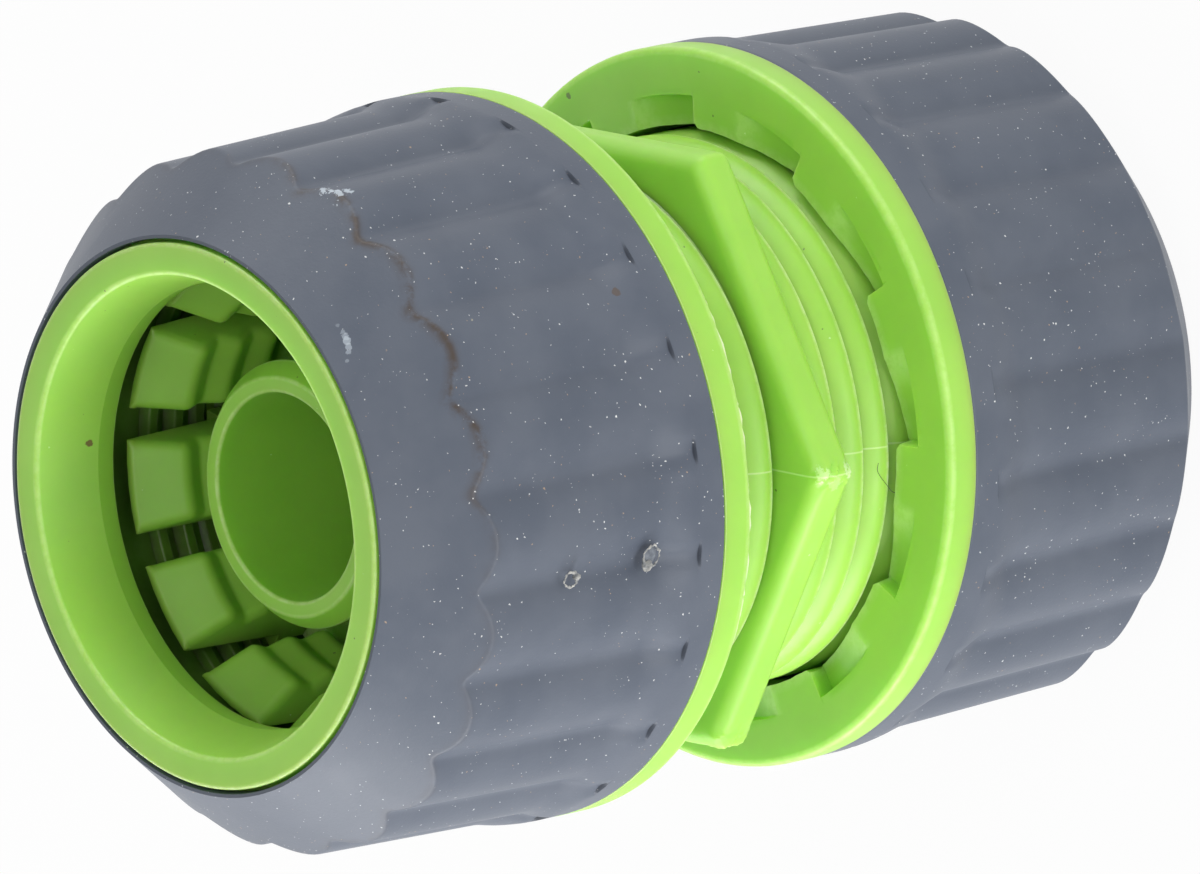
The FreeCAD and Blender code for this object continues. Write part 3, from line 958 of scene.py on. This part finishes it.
@dataclass
class ScrewNut:
    """A nut of one end: hard shell with lip, inner ribs and notches, and its soft grip."""

    end: End
    nose: float
    turn: float
    shell_finish: bpy.types.Material
    grip_finish: bpy.types.Material
    dent: Triple | None = None
    length: float = 21.22 * MM
    nose_radius: float = 14.14 * MM
    mouth_radius: float = 12.50 * MM
    throat_radius: float = 11.58 * MM
    throat_depth: float = 3.41 * MM
    lip_end_radius: float = 11.70 * MM
    lip_end: float = 4.55 * MM
    recess_radius: float = 14.25 * MM
    recess_front: float = 4.80 * MM
    cone_front_radius: float = 14.30 * MM
    cone_front: float = 7.67 * MM
    cone_end: float = 9.06 * MM
    bore_radius: float = 14.85 * MM
    collar: float = 0.9 * MM
    shell_radius: float = 16.6 * MM
    rim_radius: float = 19.0 * MM
    rim_width: float = 1.80 * MM
    rim_rounding: float = 0.34 * MM
    notch_count: int = 12
    notch_depth: float = 0.9 * MM
    notch_degrees: float = 17.0
    notch_radius: float = 16.45 * MM
    rib_radius: float = 14.2 * MM
    rib_radius_over_thread: float = 14.62 * MM
    rib_thread_start: float = 12.4 * MM
    rib_pitch: float = 1.75 * MM
    grip_gap: float = 0.20 * MM
    grip_start: float = 0.13 * MM
    grip_nose_width: float = 0.20 * MM
    grip_cone_slope: float = 0.824
    lobe_count: int = 22
    lobe_depth: float = 0.60 * MM
    lobe_degrees: float = 1.08
    valley_shoulder: float = 0.84
    lobe_front_radius: float = 18.15 * MM
    lobe_rear_radius: float = 18.70 * MM
    band_width: float = 1.65 * MM
    slit_depth: float = 0.22 * MM
    # Side where the dirt and painted shade at the cone's junction are heaviest.
    grime_and_shade_degrees: float = -46.0

    def put(self, surface: Surface) -> Surface:
        """Moves a surface from the nut's own frame, nose at 0 and rear towards +Z, to its place."""
        matrix = Matrix.Rotation(self.turn, 4, "Z")
        if self.end is End.UPPER:
            matrix = matrix @ Matrix.Rotation(math.pi, 4, "X")
        return surface.placed(Matrix.Translation((0.0, 0.0, self.nose)) @ matrix)

    def seen_degrees(self, angles: np.ndarray) -> np.ndarray:
        """Angles about +Z in the CAD frame, in degrees, of angles in the nut's own frame."""
        way = -1.0 if self.end is End.UPPER else 1.0
        return np.degrees(self.turn + way * angles)

    def notch_columns(self) -> np.ndarray:
        """Angles of the grid's columns, set close together at each notch's wall and ramp end."""
        wall = np.array([-1.7, -1.3, -1.0, -0.7, -0.45, -0.25, -0.12, 0.0, 0.12, 0.25, 0.45, 0.8, 1.3])
        ramp = np.linspace(2.0, self.notch_degrees - 1.0, 11)
        end = self.notch_degrees + np.array([-0.5, -0.2, 0.1, 0.5, 1.0, 1.6])
        tab = np.linspace(self.notch_degrees + 2.5, 360.0 / self.notch_count - 2.4, 7)
        one = np.concatenate([wall, ramp, end, tab])
        starts = np.arange(self.notch_count) * 360.0 / self.notch_count
        return np.radians((starts[:, None] + one[None, :]).ravel())

    def notch_sink(self, angles: np.ndarray) -> tuple[np.ndarray, np.ndarray, np.ndarray]:
        """How deep the rear face lies at each angle, the tabs' corner cut and the scuffing.

        The sink is full just past a notch's wall and falls evenly to nothing over the ramp.
        The corner cut grows towards the tab's end at the wall. The scuffing is strongest where
        the ramp runs out.
        """
        pitch = 360.0 / self.notch_count
        past = (np.degrees(angles) + pitch / 2.0) % pitch - pitch / 2.0
        ahead = past % pitch
        rising = np.clip(1.0 - np.maximum(past, 0.0) / self.notch_degrees, 0.0, 1.0) * smooth(past, -0.25, 0.25)
        trailing = np.clip(1.0 - ahead / self.notch_degrees, 0.0, 1.0) * (past < 0.0)
        cut = 0.24 * MM * smooth(past, -1.5, -0.25) * (past < 0.25)
        end = self.notch_degrees
        scuff = smooth(ahead, end - 7.0, end - 2.0) * smooth(end + 2.0 - ahead, 0.0, 2.0)
        return self.notch_depth * np.maximum(rising, trailing), cut, scuff

    def hard_shell(self) -> Surface:
        """Shell as a closed ring whose rear face sinks into the notches.

        The section runs from the nose ring over the seat of the grip and the rim to the rear
        face, and back through bore, squeezing cone and lip to the nose.
        """
        seat = self.collar + self.shell_radius - self.nose_radius
        rim_front = self.length - self.rim_width
        front = rounded_section(
            [
                (self.mouth_radius, 0.0, 0.25 * MM), (self.nose_radius, 0.0, 0.20 * MM),
                (self.nose_radius, self.collar, 0.0), (self.shell_radius, seat, 0.0),
                (self.shell_radius, rim_front, 0.0), (self.rim_radius, rim_front, 0.05 * MM),
                (self.rim_radius, self.length, self.rim_rounding), (self.bore_radius, self.length, 0.0),
                (self.bore_radius, self.length - 1.3 * MM, 0.0),
                (self.bore_radius, self.cone_end, 0.0),
                (self.cone_front_radius, self.cone_front, 0.0), (self.recess_radius, self.recess_front, 0.0),
                (self.lip_end_radius, self.lip_end, 0.06 * MM),
                (self.throat_radius, self.throat_depth, 0.10 * MM),
            ],
            4,
        )
        rear_corner = int(np.argmin(np.abs(front[:, 0] - self.bore_radius) + np.abs(front[:, 1] - self.length)))
        step = self.notch_radius + np.array([0.5, 0.10, 0.05, 0.0, -0.05, -0.10, -0.5, -1.0]) * MM
        rear = np.column_stack([step, np.full(step.size, self.length)])
        section = np.concatenate([front[:rear_corner], rear, front[rear_corner:]])
        rear_rows = np.arange(rear_corner, rear_corner + step.size + 1)
        angles = self.notch_columns()
        sink, cut, scuff = self.notch_sink(angles)
        radius = np.repeat(section[:, :1], angles.size, axis=1)
        height = np.repeat(section[:, 1:], angles.size, axis=1)
        # Pale tone on outer corners, the lip's edge, the tabs' inner corner and the rim is partly wear and partly
        # painted highlight; on the notch ramps it is scuffing.
        wear = np.repeat(0.3 * outward_bend(section)[:, None], angles.size, axis=1)
        at_lip = np.hypot(section[:, 0] - self.lip_end_radius, section[:, 1] - self.lip_end) < 0.05 * MM
        wear[at_lip] = 0.8
        within = smooth(self.notch_radius - section[rear_rows, 0], -0.07 * MM, 0.07 * MM)
        height[rear_rows] -= within[:, None] * sink[None, :]
        wear[rear_rows] = 0.30 * within[:, None] * scuff[None, :]
        radius[rear_rows[-1]] += cut + 0.045 * MM * ripple(angles, (31, 47, 83, 97), 8)
        wear[rear_rows[-1]] = 0.4
        side = np.abs(self.seen_degrees(angles) + 86.0)
        jagged = np.abs(ripple(angles, (37, 61, 88, 131, 167, 203), 5))
        torn = smooth(0.5 + ripple(angles, (5, 9, 14, 23), 3), 0.0, 0.45) * smooth(jagged, 0.0, 0.26) * 1.2
        torn *= smooth(32.0 - side, 0.0, 12.0) if self.end is End.UPPER else 0.15
        rim_rows = (section[:, 0] > self.rim_radius - 0.22 * MM) & (section[:, 1] > self.length - 0.20 * MM)
        radius[rim_rows] = np.minimum(radius[rim_rows] + 0.10 * MM * torn, self.rim_radius)
        height[rim_rows] -= 0.05 * MM * torn * ripple(angles, (43, 71, 113), 6)
        wear[rim_rows] = 0.15
        flash = np.zeros_like(wear)
        flash[rim_rows] = np.clip(1.1 * torn, 0.0, 1.0) * (self.end is End.UPPER)
        # Painted shade: the bore and cone behind the lip take the dark shade tone.
        inside = np.abs(section[:, 0] - (self.recess_radius + self.bore_radius) / 2.0) < 0.4 * MM
        behind_lip = (section[:, 1] > self.lip_end + 0.1 * MM) & (section[:, 1] < self.cone_end + 0.1 * MM)
        shade = 1.0 * (inside & behind_lip)
        return ring_surface(radius, height, angles, wear=wear, flash=flash, shade=shade[:, None])

    def ribs(self) -> Surface:
        """Inner thread ribs: tall before the body's thread, and low where they run round it."""
        foot = self.bore_radius + 0.25 * MM
        tall = self.rib_radius
        section = rounded_section(
            [
                (foot, 0.0, 0.0), (foot, -0.62 * MM, 0.0), (self.bore_radius, -0.60 * MM, 0.0),
                (tall, -0.30 * MM, 0.12 * MM), (tall, 0.30 * MM, 0.12 * MM),
                (self.bore_radius, 0.60 * MM, 0.0), (foot, 0.62 * MM, 0.0),
            ],
            3,
        )
        first, last = 8.0 * MM, self.length - 1.6 * MM
        turns = (last - first) / self.rib_pitch
        columns = 120
        along = np.linspace(0.0, turns, int(columns * turns) + 1)
        low = smooth(first + along * self.rib_pitch, self.rib_thread_start - 1.0 * MM, self.rib_thread_start)
        grow = (self.rib_radius_over_thread - tall) * low
        share = np.clip((self.bore_radius - section[:, :1]) / (self.bore_radius - tall), 0.0, 1.0)
        ridge = helix_ridge(section, 0.0, turns, self.rib_pitch, first, share * grow[None, :], columns)
        # Painted shade: the ribs inside the nut are darkened.
        ridge.tones["shade"] = np.ones(len(ridge.points))
        return ridge

    def lobe_columns(self) -> tuple[np.ndarray, np.ndarray]:
        """Angles of the grip's columns, closest at the valleys, and each one's share from crest to valley."""
        half = np.array([0.0, 0.16, 0.31, 0.45, 0.57, 0.67, 0.75, 0.82, 0.88, 0.925, 0.96, 0.985])
        one = np.concatenate([[-1.0], -half[1:][::-1], half])
        pitch = 2.0 * math.pi / self.lobe_count
        centres = math.radians(self.lobe_degrees) + pitch * (np.arange(self.lobe_count) + 0.5)
        return (centres[:, None] + one[None, :] * pitch / 2.0).ravel(), np.tile(np.abs(one), self.lobe_count)

    def lobe_arch(self, across: np.ndarray) -> np.ndarray:
        """Share of the lobe's depth from crest to valley.

        It is proportional to the square of the share across, and from the shoulder s on to
        s^2 + 2 s t - s t^2 / (1 - s), with t past the shoulder, which levels out in the valley.
        """
        shoulder = self.valley_shoulder
        past = np.clip(across - shoulder, 0.0, None)
        levelled = shoulder**2 + 2.0 * shoulder * past - shoulder * past**2 / (1.0 - shoulder)
        return np.where(across < shoulder, across**2, levelled) / shoulder

    def junction(self, across: np.ndarray) -> np.ndarray:
        """Height n at which the nose cone meets the lobes.

        Both are straight in section, so it is where start + slope n equals the lobe's radius.
        """
        band_front = self.length - self.rim_width - self.band_width
        taper = (self.lobe_rear_radius - self.lobe_front_radius) / band_front
        start = self.nose_radius + self.grip_gap + self.grip_nose_width - self.grip_cone_slope * self.grip_start
        lobe = self.lobe_front_radius - self.lobe_depth * self.lobe_arch(across)
        return (lobe - start) / (self.grip_cone_slope - taper)

    def lobed_radius(self, along: np.ndarray, across: np.ndarray) -> np.ndarray:
        """Outer radius of the grip at heights along the nut and shares across the lobes.

        The nose is a cone. Behind it each lobe is an even arch between two valleys. At the
        rear the crests run out onto the plain band, and each valley stops at a short slit.
        """
        start = self.nose_radius + self.grip_gap + self.grip_nose_width
        cone = start + self.grip_cone_slope * (along - self.grip_start)
        band_front = self.length - self.rim_width - self.band_width
        band = self.rim_radius - 0.02 * MM
        share = np.clip(along / band_front, 0.0, 1.0)
        crest = self.lobe_front_radius + (self.lobe_rear_radius - self.lobe_front_radius) * share
        settled = smooth(along, band_front - 2.6 * MM, band_front - 0.05 * MM)
        drop = band - crest + self.lobe_depth * self.lobe_arch(across)
        slit = self.slit_depth * smooth(across, 0.62, 1.0)
        lobes = band - drop * (1.0 - settled) - slit * settled
        lobes = np.where(along > band_front + 0.03 * MM, band, lobes)
        return soft_least(cone, lobes, 0.10 * MM)

    def soft_grip(self) -> Surface:
        """Grip as a closed ring: lobed outside, and inside the shell's own seat.

        The rows near the nose follow the wavy line where the cone meets the lobes: each is
        shifted by the line's own height less its mean, fading out away from the line.
        """
        rim_front = self.length - self.rim_width
        band_front = rim_front - self.band_width
        seat = self.collar + self.shell_radius - self.nose_radius
        inner = self.nose_radius + self.grip_gap
        angles, across = self.lobe_columns()
        line = self.junction(across)
        middle = float(line.mean())
        front = self.grip_start + np.array([0.0, 0.0, 0.10, 0.5, 1.3, 2.2]) * MM
        away = np.array([0.04, 0.08, 0.14, 0.22, 0.36, 0.6, 1.0])
        edge = middle + np.concatenate([-away[::-1], [0.0], away]) * MM
        barrel = np.linspace(middle + 1.4 * MM, band_front - 0.9 * MM, 40)
        rear = band_front + np.array([-0.6, -0.4, -0.22, -0.10, -0.03, 0.04, 0.10, 0.3]) * MM
        rows = np.concatenate([front, edge, barrel, rear, rim_front + np.array([-0.35, -0.12, -0.06, -0.02]) * MM])
        follow = smooth(rows, self.grip_start + 0.3 * MM, middle - 0.9 * MM)
        follow = follow * smooth(middle + 4.0 * MM - rows, 0.0, 3.2 * MM)
        along = rows[:, None] + follow[:, None] * (line - middle)[None, :]
        outer = self.lobed_radius(along, across[None, :])
        outer[0] = inner + 0.02 * MM
        outer[-2:] -= np.array([[0.02], [0.07]]) * MM
        # Dirt and painted shade along the junction of cone and lobes, heaviest on one side of the upper grip.
        side = (self.seen_degrees(angles) - self.grime_and_shade_degrees + 180.0) % 360.0 - 180.0
        heavy = (0.18 + 0.82 * smooth(48.0 - np.abs(side), 0.0, 26.0)) * (self.end is End.UPPER)
        grime = np.exp(-(((along - line[None, :] + 0.05 * MM) / (0.26 * MM)) ** 2)) * heavy[None, :]
        # Painted shade at the slits: rows at the band's front edge, in the valleys.
        at_slit = np.exp(-(((rows - band_front) / (0.040 * MM)) ** 2))[:, None]
        slit = at_slit * smooth(across, 0.68, 0.9)[None, :]
        inside_radius = np.array([self.shell_radius, self.shell_radius, inner, inner])[:, None] * np.ones(angles.size)
        inside_height = [rim_front - 0.02 * MM, seat, self.collar + self.grip_gap, self.grip_start + 0.05 * MM]
        none = np.zeros((4, angles.size))
        radius = np.concatenate([outer, inside_radius])
        height = np.concatenate([along, np.array(inside_height)[:, None] * np.ones(angles.size)])
        grime, slit = np.concatenate([grime, none]), np.concatenate([slit, none])
        return ring_surface(radius, height, angles, grime=grime, slit=slit)

    def dented(self, surface: Surface) -> Surface:
        """The placed grip with the shallow sink mark round the gate scar pressed in.

        Points near the mark move inwards by depth times exp(-distance^2 / (2 spread^2)).
        """
        if self.dent is None:
            return surface
        points = surface.points.copy()
        apart = np.linalg.norm(points - np.array(self.dent) * MM, axis=1)
        radius = np.hypot(points[:, 0], points[:, 1])
        press = 0.20 * MM * np.exp(-((apart / (1.15 * MM)) ** 2) / 2.0) * (radius > self.shell_radius + 0.5 * MM)
        points[:, :2] *= (1.0 - press / radius)[:, None]
        return Surface(points, surface.quads, surface.caps, surface.tones)

    def build(self) -> None:
        """Builds the nut's hard shell with its ribs, and the grip, in place of their CAD nodes."""
        label, body = self.end.label, f"{self.end.label}_nut"
        shell = self.put(self.hard_shell().joined(self.ribs()))
        make_piece(f"{label}_nut_hard", shell, self.shell_finish, body, "green_nut", f"{label}_nut_shell")
        grip = self.dented(self.put(self.soft_grip()))
        make_piece(f"{label}_nut_soft", grip, self.grip_finish, body, "grey_grip", f"{label}_nut_grip")


@dataclass
class GateScar:
    """Torn plastic left on the upper grip: an uneven raised ring round a low core."""

    name: str
    place: Triple
    reach: tuple[float, float]
    thickness: float
    lean_degrees: float
    seed: int
    flake: float
    rim: bpy.types.Material
    core: bpy.types.Material | None = None

    def axes(self) -> np.ndarray:
        """Rows: the way along the grip, the way round it, and outwards, turned by the lean."""
        x, y, _ = self.place
        out = np.array([x, y, 0.0]) / math.hypot(x, y)
        up = np.array([0.0, 0.0, 1.0])
        around = np.cross(up, out)
        lean = math.radians(self.lean_degrees)
        first = up * math.cos(lean) + around * math.sin(lean)
        return np.stack([first, np.cross(out, first), out])

    def ring(self) -> Surface:
        """Uneven ring: a tube carried round an oval, its reach and thickness rippling."""
        round_angles = np.linspace(0.0, 2.0 * math.pi, 72, endpoint=False)
        tube_angles = np.linspace(0.0, 2.0 * math.pi, 10, endpoint=False)[:, None]
        wave = ripple(round_angles, (2, 3, 5, 8, 13), self.seed)
        fat = self.thickness * np.clip(0.6 + 0.8 * ripple(round_angles, (2, 4, 9), self.seed + 1), 0.22, 1.3)
        fat += self.flake * np.exp(-(((round_angles - math.pi) / 0.45) ** 2))
        jag = fat * 0.25 * ripple(round_angles + 2.1 * tube_angles, (6, 11, 19), self.seed + 2)
        ragged = 0.07 * ripple(round_angles, (17, 23, 31), self.seed + 5)
        away = 1.0 + 0.22 * wave + ragged + (fat * np.cos(tube_angles) + jag) / self.reach[0]
        first = self.reach[0] * away * np.cos(round_angles)
        second = self.reach[1] * away * np.sin(round_angles)
        out = fat * (0.9 * np.sin(tube_angles) + 0.25) + jag
        points = np.stack([first, second, out], axis=-1) @ self.axes() + np.array(self.place)
        return Surface(points.reshape(-1, 3) * MM, grid_quads(10, 72, True, True))

    def plug(self) -> Surface:
        """Low flat plug inside the ring: a dome of height (1 - share^4), closed by one cap."""
        around = np.linspace(0.0, 2.0 * math.pi, 40, endpoint=False)
        shares = np.array([1.0, 0.97, 0.85, 0.6, 0.3])[:, None]
        reach = shares * (0.85 + 0.1 * ripple(around, (2, 3, 7), self.seed + 3))
        out = 0.12 * (1.0 - shares**4.0) - 0.14 + 0.02 * ripple(around + shares * 3.0, (3, 5, 9), self.seed + 4)
        first, second = (self.reach[0] * reach * np.cos(around), self.reach[1] * reach * np.sin(around))
        points = np.stack([first, second, out], axis=-1) @ self.axes() + np.array(self.place)
        caps = [list(range(40)), list(range(160, 200))]
        return Surface(points.reshape(-1, 3) * MM, grid_quads(5, 40, False, True), caps)

    def build(self) -> None:
        """Builds the ring, and the plug where there is one, riding on the upper nut."""
        make_piece(self.name, self.ring(), self.rim, "upper_nut", "grey_grip")
        if self.core is not None:
            make_piece(f"{self.name}_core", self.plug(), self.core, "upper_nut", "grey_grip")


@dataclass
class Hair:
    """A stray hair on the body's lower thread, as a thin tube through places in mm."""

    finish: bpy.types.Material
    radius: float = 0.016 * MM
    course: tuple[Triple, ...] = (
        (-0.78, -14.53, 22.19), (-1.13, -14.53, 22.31), (-1.52, -14.50, 22.06), (-1.98, -14.43, 21.62),
        (-2.45, -14.38, 21.22), (-2.62, -14.33, 20.86), (-2.60, -14.30, 20.30),
    )

    def build(self) -> None:
        """Builds the tube: a small circle carried along the smoothed course, capped at both ends."""
        knots = np.array(self.course) * MM
        sides, count = 6, 37
        share = np.linspace(0.0, len(knots) - 1.0, count)
        line = np.stack([np.interp(share, np.arange(len(knots)), knots[:, axis]) for axis in range(3)], axis=1)
        for _ in range(4):
            line[1:-1] = (line[:-2] + 2.0 * line[1:-1] + line[2:]) / 4.0
        along = np.gradient(line, axis=0)
        along /= np.linalg.norm(along, axis=1)[:, None]
        side = np.cross(along, np.array([0.0, 1.0, 0.0]))
        side /= np.linalg.norm(side, axis=1)[:, None]
        other = np.cross(along, side)
        turn = np.linspace(0.0, 2.0 * math.pi, sides, endpoint=False)[:, None, None]
        points = line[None] + self.radius * (np.cos(turn) * side[None] + np.sin(turn) * other[None])
        tube = Surface(points.reshape(-1, 3), grid_quads(sides, count, True, False), end_caps(sides, count))
        make_piece("stray_hair", tube, self.finish, "body", "green_body")


@dataclass
class PhotoCamera:
    """The camera at the photograph's place: aimed at a point of the bore, rolled on its side."""

    aim: Triple = (-0.330 * MM, -0.092 * MM, 28.565 * MM)
    azimuth_degrees: float = 15.5826
    elevation_degrees: float = 39.913
    roll_degrees: float = -102.0644
    distance: float = 1036.176 * MM
    focal_pixels: float = 20000.0
    sensor_width: float = 36.0

    def axes(self) -> tuple[Vector, Vector, Vector]:
        """Right, up and back of the camera in the CAD frame."""
        azimuth = math.radians(self.azimuth_degrees)
        level = Vector((math.cos(azimuth), math.sin(azimuth), 0.0))
        back = direction(self.azimuth_degrees, self.elevation_degrees)
        upright = back.cross(level)
        roll = math.radians(self.roll_degrees)
        right = level * math.cos(roll) + upright * math.sin(roll)
        return right, back.cross(right), back

    def build(self) -> bpy.types.Object:
        """Makes the camera the scene's own."""
        right, up, back = self.axes()
        data = bpy.data.cameras.new("photo_camera")
        data.sensor_width = self.sensor_width
        data.lens = self.focal_pixels / PHOTO_WIDTH * self.sensor_width
        data.clip_start, data.clip_end = 0.05, 20.0
        camera = bpy.data.objects.new("photo_camera", data)
        turn = Matrix((right, up, back)).transposed().to_4x4()
        camera.matrix_world = Matrix.Translation(Vector(self.aim) + back * self.distance) @ turn
        bpy.context.scene.collection.objects.link(camera)
        bpy.context.scene.camera = camera
        return camera


class Light(Enum):
    """The studio's lamps, named for where the camera sees their light come from."""

    BELOW = "soft_light_below"
    BEHIND = "soft_light_behind"
    FRONT = "soft_light_front"
    ABOVE = "soft_light_above"
    OVERHEAD = "soft_light_overhead"


@dataclass(frozen=True)
class Lamp:
    """A wide soft lamp: where it stands round the part, its power in watts and its size."""

    azimuth_degrees: float
    elevation_degrees: float
    power: float
    width: float = 0.9
    height: float = 0.26
    distance: float = 0.9


@dataclass
class Studio:
    """Plain pale floor, soft lamps and an even pale world."""

    camera: PhotoCamera
    floor_size: float = 6.0
    floor_glow: float = 0.94
    world_strength: float = 0.38
    lamps: dict[Light, Lamp] = field(
        default_factory=lambda: {
            Light.BELOW: Lamp(-84.0, 6.0, 7.3),
            Light.BEHIND: Lamp(-130.0, 10.0, 3.0),
            Light.FRONT: Lamp(-14.0, 6.0, 4.8),
            Light.ABOVE: Lamp(98.0, 8.0, 4.6),
            Light.OVERHEAD: Lamp(10.0, 56.0, 2.0),
        }
    )

    def floor(self) -> None:
        """Floor that the camera sees as white and that still takes the object's shadow."""
        half = self.floor_size / 2.0
        mesh = bpy.data.meshes.new("pale_floor")
        corners = [(x * half, y * half, 0.0) for x, y in ((-1, -1), (1, -1), (1, 1), (-1, 1))]
        mesh.from_pydata(corners, [], [(0, 1, 2, 3)])
        floor = bpy.data.objects.new("pale_floor", mesh)
        bpy.context.scene.collection.objects.link(floor)
        floor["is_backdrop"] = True
        made = bpy.data.materials.new("pale_floor")
        made.use_nodes = True
        desk = NodeDesk(made.node_tree)
        made.node_tree.nodes.remove(made.node_tree.nodes["Principled BSDF"])
        matt = desk.add("ShaderNodeBsdfDiffuse")
        matt.inputs["Color"].default_value = (0.90, 0.90, 0.90, 1.0)
        glow = desk.add("ShaderNodeEmission")
        glow.inputs["Strength"].default_value = 1.0
        mix = desk.add("ShaderNodeMixShader")
        desk.feed(mix.inputs[0], desk.times(desk.seen_directly(), self.floor_glow))
        desk.feed(mix.inputs[1], matt.outputs[0])
        desk.feed(mix.inputs[2], glow.outputs[0])
        desk.feed(made.node_tree.nodes["Material Output"].inputs["Surface"], mix.outputs[0])
        mesh.materials.append(made)

    def world(self) -> None:
        """Even soft world, seen as white by the camera and in reflections."""
        world = bpy.data.worlds.new("soft_world")
        world.use_nodes = True
        bpy.context.scene.world = world
        desk = NodeDesk(world.node_tree)
        back = world.node_tree.nodes["Background"]
        strength = desk.step(desk.seen_directly(), 0.0, 1.0, (self.world_strength, 1.0))
        desk.feed(back.inputs["Color"], (1.0, 1.0, 1.0))
        desk.feed(back.inputs["Strength"], strength)

    def lamp(self, light: Light, lamp: Lamp) -> None:
        """Places one lamp, facing the point that the camera is aimed at."""
        toward = direction(lamp.azimuth_degrees, lamp.elevation_degrees)
        data = bpy.data.lights.new(light.value, "AREA")
        data.shape = "RECTANGLE"
        data.size, data.size_y = lamp.width, lamp.height
        data.energy = lamp.power
        placed = bpy.data.objects.new(light.value, data)
        centre = Vector(self.camera.aim)
        turn = toward.to_track_quat("Z", "Y").to_matrix().to_4x4()
        placed.matrix_world = Matrix.Translation(centre + toward * lamp.distance) @ turn
        bpy.context.scene.collection.objects.link(placed)

    def build(self) -> None:
        """Sets floor, world, lamps and camera, and the plain view transform."""
        self.floor()
        self.world()
        for light, lamp in self.lamps.items():
            self.lamp(light, lamp)
        self.camera.build()
        bpy.context.scene.view_settings.view_transform = "Standard"


TURN_DEGREES = {End.UPPER: 2.20, End.LOWER: 0.67}
CONE_SLOPES = {End.UPPER: 0.824, End.LOWER: 1.0}
SCAR_PLACE = (-1.90, -18.46, 41.34)
FLAKE_PLACE = (-2.28, -18.26, 46.64)


def main() -> None:
    """Builds the whole scene in order: body, nuts, scars, hair, studio."""
    logging.basicConfig(level=logging.INFO, format="%(name)s: %(message)s")
    cad_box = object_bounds()
    low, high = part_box("connector_body")
    finishes = Finishes.made()
    ConnectorBody((low.z + high.z) / 2.0, finishes.body).build()
    noses = {End.UPPER: cad_box[1].z, End.LOWER: cad_box[0].z}
    for end in End:
        turn = math.radians(TURN_DEGREES[end])
        dent = SCAR_PLACE if end is End.UPPER else None
        nut = ScrewNut(end, noses[end], turn, finishes.nut, finishes.grips[end], dent)
        nut.grip_cone_slope = CONE_SLOPES[end]
        nut.build()
    GateScar(
        "gate_scar", SCAR_PLACE, reach=(0.56, 0.50), thickness=0.085, lean_degrees=123.0, seed=21, flake=0.26,
        rim=finishes.scrap, core=finishes.torn,
    ).build()
    GateScar(
        "gate_flake", FLAKE_PLACE, reach=(0.40, 0.40), thickness=0.085, lean_degrees=-20.0, seed=33, flake=0.19,
        rim=finishes.scrap,
    ).build()
    Hair(finishes.hair).build()
    Studio(PhotoCamera()).build()


if __name__ == "__main__":
    main()
